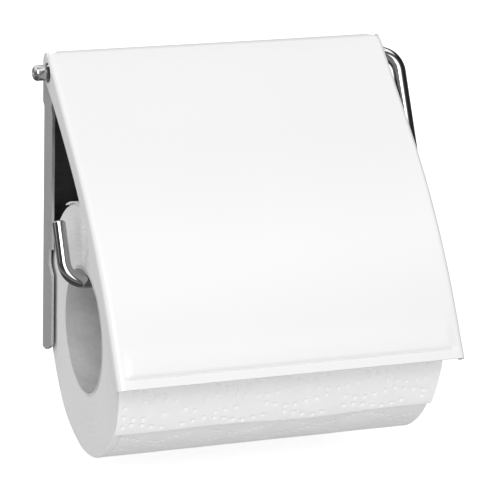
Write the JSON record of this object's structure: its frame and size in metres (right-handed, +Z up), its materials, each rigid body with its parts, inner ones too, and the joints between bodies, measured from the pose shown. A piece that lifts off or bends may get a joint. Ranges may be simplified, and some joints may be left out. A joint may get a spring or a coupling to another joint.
{
  "type": "roll holder",
  "caption": "Wall-mounted roll holder: back plate, hinged white cover flap and bent chrome wire arm that carries a paper roll.",
  "frame": {"origin": "centre of the back plate's rear face, on the wall", "axes": "+Y into the wall, +Z up, +X to the right as seen from the front"},
  "size_m": [0.1425, 0.1348, 0.1392],
  "materials": {
    "plate": "satin grey",
    "screw": "bright zinc",
    "cover": "white enamel, soft gloss",
    "wire": "polished",
    "cap": "polished",
    "card": "raw cardboard",
    "paper": "wound tissue",
    "paper_sheet": "embossed tissue"
  },
  "bodies": {
    "mount": {"back_plate": "plate", "wall_screw_left": "screw", "wall_screw_right": "screw"},
    "arm": {"roll_arm": "wire", "pivot_cap": "cap", "outer_sheet": "paper_sheet"},
    "cover": {"cover_flap": "cover"},
    "roll": {"roll_core": "card", "paper_roll": "paper"}
  },
  "joints": [
    {"name": "arm_swing", "type": "hinge", "parent": "mount", "child": "arm", "pos_m": [0, -0.0133, 0.054], "axis": [-1, 0, 0], "range_deg": [0, 30]},
    {"name": "cover_lift", "type": "hinge", "parent": "arm", "child": "cover", "pos_m": [0, -0.0133, 0.054], "axis": [-1, 0, 0], "range_deg": [0, 95]},
    {"name": "roll_spin", "type": "hinge", "parent": "arm", "child": "roll", "pos_m": [0, -0.0468, -0.03264], "axis": [1, 0, 0], "continuous": true}
  ]
}
